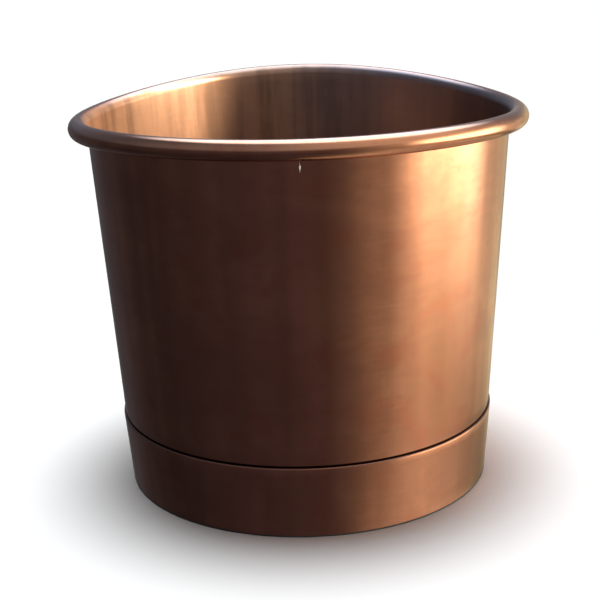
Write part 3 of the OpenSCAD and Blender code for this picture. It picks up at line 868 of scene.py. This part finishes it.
def length(name, description, default, low=0.0, high=10.0):
    return bpy.props.FloatProperty(name=name, description=description, default=default,
                                   min=low, max=high, unit="LENGTH", precision=5)


def tilt(name, description, default):
    return bpy.props.FloatProperty(name=name, description=description, default=default, subtype="ANGLE")


def colour(name, description, default):
    return bpy.props.FloatVectorProperty(name=name, description=description, default=default,
                                         size=3, min=0.0, max=1.0, subtype="COLOR")


class TubShape(bpy.types.PropertyGroup):
    """How far the hand-made sheet strays from true."""
    saddle: length("Rim saddle", "Rise of the rim at front and back, and its dip at the sides", 12.7 * MM)
    triple: length("Rim twist", "Threefold wave along the rim", -4.6 * MM, low=-0.02)
    wave_from: length("Wave starts", "Height where the wall begins to follow the rim's wave", 0.25)
    wave_to: length("Wave full", "Height where the wall follows it in full", 0.80)
    unevenness: length("Unevenness", "Swell of the sheet in and out", 0.35 * MM)
    patch: length("Patch size", "Size of the swells in the sheet", 0.22)
    curl_end: tilt("Curl end", "Angle where the rim's curl ends", math.radians(-154))


class TubColours(bpy.types.PropertyGroup):
    """Colours of the copper."""
    bright: colour("Copper", "Clean copper", (0.58, 0.245, 0.125))
    dark: colour("Patina", "Copper under its patina", (0.36, 0.135, 0.075))
    # The inside colour is duller copper, painted darker also as shade inside the tub.
    inside: colour("Inside", "Duller copper inside the tub", (0.38, 0.20, 0.12))
    # The groove colour is a painted shade: the joint band is painted nearly black for the shadow in the
    # groove.
    shade: colour("Groove", "Darkened copper in the groove", (0.075, 0.035, 0.026))


class CameraView(bpy.types.PropertyGroup):
    """Where the camera stands."""
    distance: length("Distance", "From the tub's axis to the camera", 3.154)
    height: length("Height", "Of the camera above the floor", 1.354)
    lens: bpy.props.FloatProperty(name="Lens", description="Focal length in millimetres", default=86.97)
    pitch: tilt("Pitch", "Tilt down", 0.2958)
    yaw: tilt("Yaw", "Turn to the right", -0.0028)
    roll: tilt("Roll", "Lean to the left", -0.0321)


FINISHES = {}


def make_finishes(colours):
    """Every finish of the tub, by the record's slot."""
    bright = tuple(colours.bright)
    dark = tuple(colours.dark)
    FINISHES.update({
        "copper_wall": copper("Copper_Wall", bright, dark, worn=((RIM_TOP, 0.03),), inside=colours.inside),
        # Painted shade: the plinth's top edge at the groove is darkened almost to black.
        "copper_plinth": copper("Copper_Plinth", bright, dark, patina=0.6,
                                painted_shade_bands=((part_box("plinth_skirt")[1].z, 0.003),)),
        # Painted shade: the tub floor's copper is painted darker than the wall's, so the bottom of the tub
        # stays dim under the overhead light.
        "copper_pan": copper("Copper_Pan", (0.30, 0.125, 0.065), (0.17, 0.062, 0.034), patina=0.7,
                             roughness=0.42, grain=0.2, coat=0.1),
        # Painted shade: the joint band in the groove is painted nearly black.
        "copper_band": copper("Copper_Band", tuple(colours.shade), deeper(colours.shade, 0.5),
                              patina=0.8, roughness=0.5, grain=0.0, coat=0.0),
        "copper_trim": copper("Copper_Trim", (0.72, 0.36, 0.22), (0.5, 0.22, 0.12), patina=0.25,
                              roughness=0.18, grain=0.3),
        "seam_filler": solder("Seam_Filler", bright, dark, tuple(colours.inside)),
        "plywood": plywood("Plywood", (0.60, 0.42, 0.24), (0.38, 0.23, 0.11)),
        "yellow_brass": bare_metal("Machined_Brass", (0.72, 0.50, 0.22), (0.45, 0.28, 0.11), 0.26),
        "frame_steel": painted("Powder_Coat", (0.028, 0.029, 0.031)),
        "zinc_steel": bare_metal("Zinc_Plate", (0.62, 0.63, 0.64), (0.40, 0.41, 0.42), 0.32),
        "black_rubber": moulded("Black_Rubber", (0.014, 0.014, 0.014), 0.6),
        "black_nylon": moulded("Black_Nylon", (0.02, 0.02, 0.021), 0.42),
        "white_nylon": moulded("White_Nylon", (0.72, 0.70, 0.64), 0.4),
        "grey_foam": moulded("Closed_Cell_Foam", (0.10, 0.105, 0.11), 0.8, 1500.0),
    })


def shape_inputs(shape):
    """Tree inputs that let a piece follow the rim's wave and the sheet's swells."""
    return {
        "Saddle": shape.saddle,
        "Triple_Wave": shape.triple,
        "Wave_From": shape.wave_from,
        "Wave_To": shape.wave_to,
        "Unevenness": shape.unevenness,
        "Patch_Size": shape.patch,
        "Uneven_From": TUB_FLOOR + 0.05,
        "Uneven_To": TUB_FLOOR + 0.15,
    }


# ---- wall and rim --------------------------------------------------------------------------

def wall_outline(curl_end, rows=26):
    """Sheet that leans outwards, curls over the rim's core and comes back to the wall."""
    centre = (BEAD_C, BEAD_Z)
    lean = math.atan2(BEAD_C - BEAD_R - FOOT_IN, BEAD_Z - WALL_BOTTOM)
    start = 180.0 - math.degrees(lean)
    end = math.degrees(curl_end)
    inner_arc = arc(centre, BEAD_R, start, end, 56)
    outer_arc = arc(centre, BEAD_R - SHEET, end, start, 44)
    edge = SHEET / 2
    tip_middle = arc(centre, BEAD_R - edge, end, end, 1)[0]
    tip = arc(tip_middle, edge, end, end - 180.0, 6)[1:-1]
    inner_foot = (FOOT_IN, WALL_BOTTOM)
    outer_foot = (FOOT_OUT, WALL_BOTTOM)
    foot = arc(((FOOT_IN + FOOT_OUT) / 2, WALL_BOTTOM + edge), edge, 0.0, -180.0, 8)
    up = along(inner_foot, inner_arc[0], rows)
    down = along(outer_arc[-1], outer_foot, rows)
    return foot + up + inner_arc + tip + outer_arc + down


class TUB_OT_wall(bpy.types.Operator):
    """Build both halves of the wall with its rolled rim"""
    bl_idname = "tub.wall"
    bl_label = "Wall"

    def execute(self, context):
        shape = context.scene.tub_shape
        half_gap = HALF_JOINT / BEAD_C
        for node, start in (("wall_left", BACK), ("wall_right", FRONT)):
            turned(node, wall_outline(shape.curl_end), Segments=256, Start=start + half_gap,
                   Sweep=math.pi - 2 * half_gap, **shape_inputs(shape))
        return {"FINISHED"}


class TUB_OT_seams(bpy.types.Operator):
    """Fill the front and back seams of the wall, and leave a drop of solder under the rim"""
    bl_idname = "tub.seams"
    bl_label = "Seams"

    def execute(self, context):
        shape = context.scene.tub_shape
        half = (HALF_JOINT - FILLER_PLAY) / BEAD_C
        settings = spelled(shape_inputs(shape))
        settings["Material"] = FINISHES["seam_filler"]
        settings.update({"Segments": 2, "Sweep": 2 * half})
        work = bmesh.new()
        for start in (FRONT, BACK):
            settings["Start"] = start - half
            host = outline_mesh(wall_outline(shape.curl_end))
            work.from_mesh(cleaned(grown(host, tree_named("turned", turned_tree), settings)))
        tall, breadth, proud = SOLDER_DROP_SIZE
        behind = 0.2 * MM
        drop = bmesh.ops.create_uvsphere(work, u_segments=20, v_segments=14, radius=1.0)["verts"]
        for vert in drop:
            narrow = 0.75 + 0.25 * vert.co.z
            depth = proud * narrow if vert.co.y < 0.0 else behind
            vert.co = Vector((vert.co.x * breadth * narrow, vert.co.y * depth, vert.co.z * tall))
            vert.co += SOLDER_DROP
        settled("seam_solder", shaded(work, bpy.data.meshes.new("seam"), FINISHES["seam_filler"]))
        return {"FINISHED"}


class TUB_OT_rim_core(bpy.types.Operator):
    """Build the steel tube inside the rim"""
    bl_idname = "tub.rim_core"
    bl_label = "Rim core"

    def execute(self, context):
        shape = context.scene.tub_shape
        low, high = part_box("rim_core")
        tube_wall = 2.5 * MM
        outer = (high.z - low.z) / 2
        inner = outer - tube_wall
        slit = 6 * MM / BEAD_C
        centre = (BEAD_C, BEAD_Z)
        ring = arc(centre, outer, 1, 359, 32) + arc(centre, inner, 359, 1, 24)
        turned("rim_core", ring, Segments=192, Start=BACK + slit, Sweep=FULL_TURN - 2 * slit,
               **shape_inputs(shape))
        return {"FINISHED"}


# ---- plinth --------------------------------------------------------------------------------

def skirt_outline(rows=8):
    """Sheet skirt with a rounded top edge turned in to the joint band."""
    low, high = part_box("plinth_skirt")
    foot_in, foot_out = radii_near("plinth_skirt", low.z)
    lip = 3 * MM
    shoulder = high.x
    inner_top = radii_near("plinth_skirt", high.z)[0]
    centre = (shoulder - lip, high.z - lip)
    edge = SHEET / 2
    foot = arc(((foot_in + foot_out) / 2, low.z + edge), edge, 180.0, 360.0, 8)
    outer = arc(centre, lip, 0.0, 90.0, 8)
    inner = arc(centre, lip - SHEET, 90.0, 0.0, 5)
    end = arc((inner_top + edge, high.z - edge), edge, 90.0, 270.0, 6)
    return foot + along(foot[-1], outer[0], rows) + outer + end + inner + along(inner[-1], foot[0], rows)


class TUB_OT_plinth(bpy.types.Operator):
    """Build the skirt, its seam strap, the joint band and the seal on the floor"""
    bl_idname = "tub.plinth"
    bl_label = "Plinth"

    def execute(self, context):
        shape = context.scene.tub_shape
        half_gap = HALF_JOINT / RIM_R
        turned("plinth_skirt", skirt_outline(), Segments=384, Start=BACK + half_gap,
               Sweep=FULL_TURN - 2 * half_gap, Unevenness=shape.unevenness * 0.6, Patch_Size=shape.patch,
               Uneven_From=0.0, Uneven_To=0.05)
        turned_like("joint_band", 1.0 * MM, 384)
        turned_like("floor_seal", 0.8 * MM, 256)
        softened("skirt_seam_strap", 0.6 * MM)
        softened("skirt_spacers", 0.9 * MM)
        return {"FINISHED"}


# ---- tub floor and what carries it ---------------------------------------------------------

class TUB_OT_tub_floor(bpy.types.Operator):
    """Build the dished floor of the tub with its bedding and board"""
    bl_idname = "tub.tub_floor"
    bl_label = "Tub floor"

    def execute(self, context):
        turned_like("floor_pan", 0.9 * MM, 256)
        turned_like("floor_bedding", 1.2 * MM, 128)
        softened("support_board", 0.5 * MM)
        return {"FINISHED"}


def weld_paths():
    """Lines where the bearers, arms, ring and legs of the base frame meet."""
    paths = []
    short = 2 * MM
    across = ("bearer_front", "bearer_back", "side_arm_left", "side_arm_right")
    for node in across + ("bearer_left", "bearer_right"):
        low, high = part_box(node)
        for x in (low.x, high.x):
            for y in (low.y, high.y):
                paths.append([(x, y, low.z + short), (x, y, high.z - short)])
            if node in across:
                paths.append([(x, low.y + short, low.z), (x, high.y - short, low.z)])
    for corner in CORNERS:
        low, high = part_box("leg_" + corner)
        bar_low, bar_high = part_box("bearer_left" if "left" in corner else "bearer_right")
        radius = (high.x - low.x) / 2
        centre = middle("leg_" + corner)
        half = (bar_high.x - bar_low.x) / 2
        reach = math.sqrt(radius ** 2 - half ** 2)
        for x in (bar_low.x, bar_high.x):
            paths.append([(x, centre.y - reach, high.z), (x, centre.y + reach, high.z)])
    return paths


class TUB_OT_base_frame(bpy.types.Operator):
    """Build the welded steel frame: ring, bearers, arms, legs and weld beads"""
    bl_idname = "tub.base_frame"
    bl_label = "Base frame"

    def execute(self, context):
        softened("frame_ring", 0.8 * MM)
        for node in ("bearer_left", "bearer_right", "bearer_front", "bearer_back",
                     "side_arm_left", "side_arm_right"):
            softened(node, 1.1 * MM)
        for corner in CORNERS:
            turned_like("leg_" + corner, 0.8 * MM, 64)
        beads = beaded(weld_paths(), FINISHES["frame_steel"], radius=2.6 * MM, ripple=0.12, pitch=3.2 * MM)
        added("Weld_Beads", beads, "tub")
        return {"FINISHED"}


def board_screws():
    """Countersunk wood screws that hold the board to the bearers, each turned its own way."""
    places = []
    for island in solids("board_screws"):
        low, high = extent(island)
        centre = (low + high) / 2
        places.append(((centre.x, centre.y, high.z), (0.0, 0.0, low.x + low.y * 9)))
    head = (high.x - low.x) / 2
    rows = [(head * 0.42, -head * 0.62), (head * 0.97, -0.35 * MM), (head, -0.15 * MM), (head * 0.97, 0.0)]
    recess = (head * 0.52, head * 0.14, head * 0.4)
    finish = finish_of("board_screws")
    shape = screw_mesh("board_screw", finish, rows, shank=head * 0.49, length=high.z - low.z,
                       pitch=1.9 * MM, recess=recess)
    scattered("board_screws", shape, places)


def spacer_screws():
    """Round-headed screws that hold the spacers to the frame's ring, pointing outwards."""
    places = []
    for island in solids("spacer_screws"):
        low, high = extent(island)
        centre = (low + high) / 2
        angle = math.atan2(centre.y, centre.x)
        outward = Vector((math.cos(angle), math.sin(angle), 0.0))
        ends = [p.dot(outward) for p in island]
        start = outward * min(ends)
        places.append(((start.x, start.y, centre.z), (0.0, -math.pi / 2, angle)))
    head = (high.z - low.z) / 2
    rows = [(head * 0.5, -head * 0.56), (head, -head * 0.56), (head, -head * 0.3),
            (head * 0.93, -head * 0.12), (head * 0.78, -head * 0.02), (head * 0.66, 0.0)]
    recess = (head * 0.5, head * 0.14, head * 0.4)
    finish = finish_of("spacer_screws")
    shape = screw_mesh("spacer_screw", finish, rows, shank=head * 0.5, length=max(ends) - min(ends),
                       pitch=1.6 * MM, recess=recess)
    scattered("spacer_screws", shape, places)


def foot_locknuts():
    """Hexagon nuts that lock the feet's studs."""
    places = []
    for island in solids("foot_locknuts"):
        low, high = extent(island)
        centre = (low + high) / 2
        places.append(((centre.x, centre.y, low.z), (0.0, 0.0, 0.0)))
    bore = min(math.hypot(p.x - centre.x, p.y - centre.y) for p in island)
    height = high.z - low.z
    across = (high.x - low.x) * math.cos(math.pi / 6)
    ease = 0.8 * MM
    work = bmesh.new()
    lathed(work, nut_rows(6, across, 0.0, height, bored(bore, ease, 0.0, height)), 72, closed=True)
    shape = shaded(work, bpy.data.meshes.new("lock_nut"), finish_of("foot_locknuts"), fold=24)
    scattered("foot_locknuts", shape, places)


class TUB_OT_fixings(bpy.types.Operator):
    """Build the board screws, the spacer screws and the feet's lock nuts"""
    bl_idname = "tub.fixings"
    bl_label = "Fixings"

    def execute(self, context):
        board_screws()
        spacer_screws()
        foot_locknuts()
        return {"FINISHED"}


class TUB_OT_earthing(bpy.types.Operator):
    """Build the earth tag and its screw"""
    bl_idname = "tub.earthing"
    bl_label = "Earthing"

    def execute(self, context):
        softened("earth_tag", 0.3 * MM)
        softened("earth_screw", 0.5 * MM)
        return {"FINISHED"}


class TUB_OT_feet(bpy.types.Operator):
    """Build the threaded studs and the pads of the four feet"""
    bl_idname = "tub.feet"
    bl_label = "Feet"

    def execute(self, context):
        pitch = 1.75 * MM
        for corner in CORNERS:
            stud = "foot_stud_" + corner
            pad_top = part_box("foot_pad_" + corner)[1].z
            turned_like(stud, 0.6 * MM, 28, divide=pitch / 5, Thread_Depth=1.0 * MM, Thread_Pitch=pitch,
                        Thread_From=pad_top + 4 * MM, Thread_To=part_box(stud)[1].z - 0.8 * MM)
            turned_like("foot_pad_" + corner, 0.9 * MM, 72)
        return {"FINISHED"}


# ---- drain and stopper ---------------------------------------------------------------------

class TUB_OT_drain(bpy.types.Operator):
    """Build the drain body, its seals and nuts, and the tailpiece"""
    bl_idname = "tub.drain"
    bl_label = "Drain"

    def execute(self, context):
        softened("drain_flange", 0.35 * MM)
        for node in ("drain_top_seal", "drain_gasket", "drain_slip_washer", "tailpiece_washer"):
            turned_like(node, 0.4 * MM, 96)
        turned_like("tailpiece", 0.3 * MM, 96)
        low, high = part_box("drain_locknut")
        bore = radii_near("drain_locknut", low.z)[0]
        ease = 0.7 * MM
        nut("drain_locknut", 6, bored(bore, ease, low.z, high.z))
        low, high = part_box("tailpiece_nut")
        neck = radii_near("tailpiece_nut", low.z)[0]
        bore = radii_near("tailpiece_nut", high.z)[0]
        shoulder = low.z + 3 * MM
        nut("tailpiece_nut", 8, [(bore + ease, high.z), (bore, high.z - ease), (bore, shoulder),
                                 (neck, shoulder), (neck, low.z + ease), (neck + ease, low.z)])
        return {"FINISHED"}


class TUB_OT_stopper(bpy.types.Operator):
    """Build the stopper with its guide and the spring that stretches between them"""
    bl_idname = "tub.stopper"
    bl_label = "Stopper"

    def execute(self, context):
        turned_like("click_cartridge", 0.3 * MM, 64)
        turned_like("stopper_stem", 0.5 * MM, 64)
        turned_like("stopper_cap", 0.7 * MM, 128)
        turned_like("stopper_seal", 0.4 * MM, 96)
        low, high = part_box("click_spring")
        wire = 0.6 * MM
        coil = (high.x - low.x) / 2 - wire
        turns = 4
        flat_share = 0.14
        steps = turns * 24
        climb = high.z - low.z - 2 * wire
        path = []
        for i in range(steps + 1):
            angle = FULL_TURN * turns * i / steps
            risen = min(max((i / steps - flat_share) / (1.0 - 2 * flat_share), 0.0), 1.0)
            path.append((coil * math.cos(angle), coil * math.sin(angle), low.z + wire + climb * risen))
        mesh = beaded([path], finish_of("click_spring"), wire, step=0.7 * MM)
        spring = added("Click_Spring", mesh, None)
        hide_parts("click_spring")
        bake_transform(spring)
        return {"FINISHED"}


# ---- stage ---------------------------------------------------------------------------------

def make_floor():
    """A wide pale floor that is seen through from below."""
    mesh = bpy.data.meshes.new("Floor")
    reach = 60.0
    mesh.from_pydata([(-reach, -reach, 0), (reach, -reach, 0), (reach, reach, 0), (-reach, reach, 0)],
                     [], [(0, 1, 2, 3)])
    material = bpy.data.materials.new("Pale_Floor")
    t = cleared(material)
    pale = t.add("ShaderNodeBsdfDiffuse", {"Color": (0.87, 0.89, 0.90)})
    clear = t.add("ShaderNodeBsdfTransparent")
    behind = t.add("ShaderNodeNewGeometry").outputs["Backfacing"]
    t.add("ShaderNodeOutputMaterial", {0: t.add("ShaderNodeMixShader", {0: behind, 1: pale, 2: clear})})
    mesh.materials.append(material)
    floor = linked("Stage_Floor", mesh)
    floor.visible_glossy = False
    floor.visible_shadow = False


def make_world():
    """Soft studio surround: dark to the left, a tall warm window to the right, pale sky above.

    Shiny surfaces mirror it, and the camera sees plain white instead. The lamps light the matt surfaces."""
    world = bpy.data.worlds.new("Studio")
    t = cleared(world)
    direction = t.add("ShaderNodeTexCoord").outputs["Generated"]
    x, y, z = t.parts(direction)
    bearing = t.math("ARCTAN2", x, t.times(y, -1.0))
    share = t.plus(t.math("DIVIDE", bearing, FULL_TURN), 0.5)

    def at(degrees):
        return degrees / 360.0 + 0.5

    low = t.ramp(share,
                 (0.0, (0.26, 0.25, 0.24)),
                 (at(-158), (0.08, 0.08, 0.09)),
                 (at(-95), (0.045, 0.045, 0.060)),
                 (at(-20), (0.085, 0.076, 0.110)),
                 (at(12), (0.115, 0.10, 0.125)),
                 (at(27), (0.20, 0.185, 0.19)),
                 (at(45), (0.58, 0.55, 0.50)),
                 (at(60), (0.88, 0.85, 0.78)),
                 (at(74), (0.96, 0.92, 0.84)),
                 (at(104), (0.84, 0.81, 0.70)),
                 (at(125), (0.72, 0.65, 0.48)),
                 (at(150), (0.60, 0.50, 0.30)),
                 (1.0, (0.26, 0.25, 0.24)))
    level = t.math("DIVIDE", t.plus(z, 0.65), 0.4)
    sunlit = t.ramp(level,
                    (0.0, 0.90),
                    (0.20, 0.90),
                    (0.32, 1.08),
                    (0.40, 0.40),
                    (0.57, 0.38),
                    (0.68, 0.90),
                    (0.80, 1.45),
                    (1.0, 1.20))
    shaded_side = t.rise(z, -0.46, -0.37, 0.74, 1.0)
    dim = t.mix(t.rise(bearing, math.radians(48), math.radians(76)), shaded_side, sunlit)
    drift = t.vector("MULTIPLY", direction, (1.0, 1.0, 0.5))
    streaks = t.add("ShaderNodeTexNoise", {"Vector": drift, "Scale": 8.0, "Detail": 3.0, "Roughness": 0.6})
    streaked = t.rise(streaks.outputs[0], 0.30, 0.70, 0.72, 1.28)
    low = t.mix(1.0, low, t.mix(1.0, dim, streaked, "MULTIPLY"), "MULTIPLY")
    high = t.ramp(share,
                  (0.0, (0.16, 0.19, 0.26)),
                  (at(-110), (0.10, 0.14, 0.22)),
                  (at(-20), (0.34, 0.40, 0.52)),
                  (at(35), (0.80, 0.82, 0.84)),
                  (at(90), (1.1, 1.08, 1.0)),
                  (at(140), (0.30, 0.30, 0.32)),
                  (1.0, (0.16, 0.19, 0.26)))
    room = t.mix(t.rise(z, -0.05, 0.25), low, high)
    window = t.times(t.rise(bearing, math.radians(50), math.radians(72)),
                     t.rise(bearing, math.radians(124), math.radians(102)))
    window = t.times(window, t.times(t.rise(z, -0.325, -0.25), t.rise(z, 0.4, 0.0)))
    daylight = (6.0, 6.0, 4.9)
    glow = t.mix(window, (0.0, 0.0, 0.0), daylight)
    panel_at = (0.10, 0.42, 0.90)
    panel = t.rise(t.vector("DOT_PRODUCT", direction, panel_at), 0.78, 0.93)
    skylight = (2.9, 4.2, 5.9)
    glow = t.mix(panel, glow, skylight)
    seen = t.mix(1.0, room, glow, "ADD")
    to_camera = t.add("ShaderNodeLightPath").outputs["Is Camera Ray"]
    shown = t.mix(to_camera, seen, (1.0, 1.0, 1.0))
    background = t.add("ShaderNodeBackground", {"Color": shown, "Strength": 1.0})
    t.add("ShaderNodeOutputWorld", {0: background})
    bpy.context.scene.world = world
    world.cycles_visibility.diffuse = False


def make_camera(view):
    """The camera at its viewing angle."""
    data = bpy.data.cameras.new("Camera")
    data.lens = view.lens
    data.sensor_width = 36.0
    camera = linked("Camera", data)
    turn = Matrix.Rotation(-view.yaw, 4, "Z") @ Matrix.Rotation(math.pi / 2 - view.pitch, 4, "X")
    camera.matrix_world = (Matrix.Translation((0.0, -view.distance, view.height))
                           @ turn @ Matrix.Rotation(view.roll, 4, "Z"))
    bpy.context.scene.camera = camera


def make_lamp(name, kind, place, aim, energy, **settings):
    """A lamp at a place, turned towards a point. Only the spot shows in shiny surfaces."""
    data = bpy.data.lights.new(name, kind)
    data.energy = energy
    for key, value in settings.items():
        setattr(data, key, value)
    lamp = linked(name, data)
    lamp.location = place
    lamp.rotation_euler = (Vector(aim) - Vector(place)).to_track_quat("-Z", "Y").to_euler()
    lamp.visible_glossy = kind == "SPOT"


def make_lamps():
    """Broad lamps overhead and below, and a spot that reaches the inside of the wall on the left."""
    axis = (0.0, 0.0, 0.0)
    make_lamp("Overhead", "SUN", (0.0, 0.055, 1.0), axis, energy=3.66, angle=math.radians(24))
    make_lamp("Below", "SUN", (0.3, -0.4, -1.0), axis, energy=1.6, angle=math.radians(70))
    make_lamp("Inside_Spot", "SPOT", (2.2, -0.6, 3.2), (-0.42, 0.20, 0.76), energy=5600.0,
              spot_size=math.radians(9.0), spot_blend=0.42, shadow_soft_size=0.08,
              color=(1.0, 0.86, 0.66))


class TUB_OT_stage(bpy.types.Operator):
    """Set up the floor, the light and the camera"""
    bl_idname = "tub.stage"
    bl_label = "Stage"

    def execute(self, context):
        scene = context.scene
        make_floor()
        make_world()
        make_lamps()
        make_camera(scene.tub_camera)
        scene.view_settings.view_transform = "Standard"
        return {"FINISHED"}


# ---- add-on --------------------------------------------------------------------------------

OPERATORS = (
    TUB_OT_wall,
    TUB_OT_seams,
    TUB_OT_rim_core,
    TUB_OT_plinth,
    TUB_OT_tub_floor,
    TUB_OT_base_frame,
    TUB_OT_fixings,
    TUB_OT_earthing,
    TUB_OT_feet,
    TUB_OT_drain,
    TUB_OT_stopper,
    TUB_OT_stage,
)


class TUB_PT_panel(bpy.types.Panel):
    """Sizes, colours and build steps of the copper tub"""
    bl_label = "Copper Tub"
    bl_idname = "TUB_PT_panel"
    bl_space_type = "VIEW_3D"
    bl_region_type = "UI"
    bl_category = "Copper Tub"

    def draw(self, context):
        layout = self.layout
        for group in (context.scene.tub_shape, context.scene.tub_colours, context.scene.tub_camera):
            for name in group.__annotations__:
                layout.prop(group, name)
        for operator in OPERATORS:
            layout.operator(operator.bl_idname)


GROUPS = (
    ("tub_shape", TubShape),
    ("tub_colours", TubColours),
    ("tub_camera", CameraView),
)


def register():
    for name, group in GROUPS:
        bpy.utils.register_class(group)
        setattr(bpy.types.Scene, name, bpy.props.PointerProperty(type=group))
    for operator in OPERATORS:
        bpy.utils.register_class(operator)
    bpy.utils.register_class(TUB_PT_panel)


def unregister():
    bpy.utils.unregister_class(TUB_PT_panel)
    for operator in reversed(OPERATORS):
        bpy.utils.unregister_class(operator)
    for name, group in reversed(GROUPS):
        delattr(bpy.types.Scene, name)
        bpy.utils.unregister_class(group)


def main():
    register()
    make_finishes(bpy.context.scene.tub_colours)
    for operator in OPERATORS:
        group, name = operator.bl_idname.split(".")
        getattr(getattr(bpy.ops, group), name)()
    for node, piece in frame["nodes"].items():
        piece.data.materials.clear()
        piece.data.materials.append(finish_of(node))


if __name__ == "__main__":
    main()
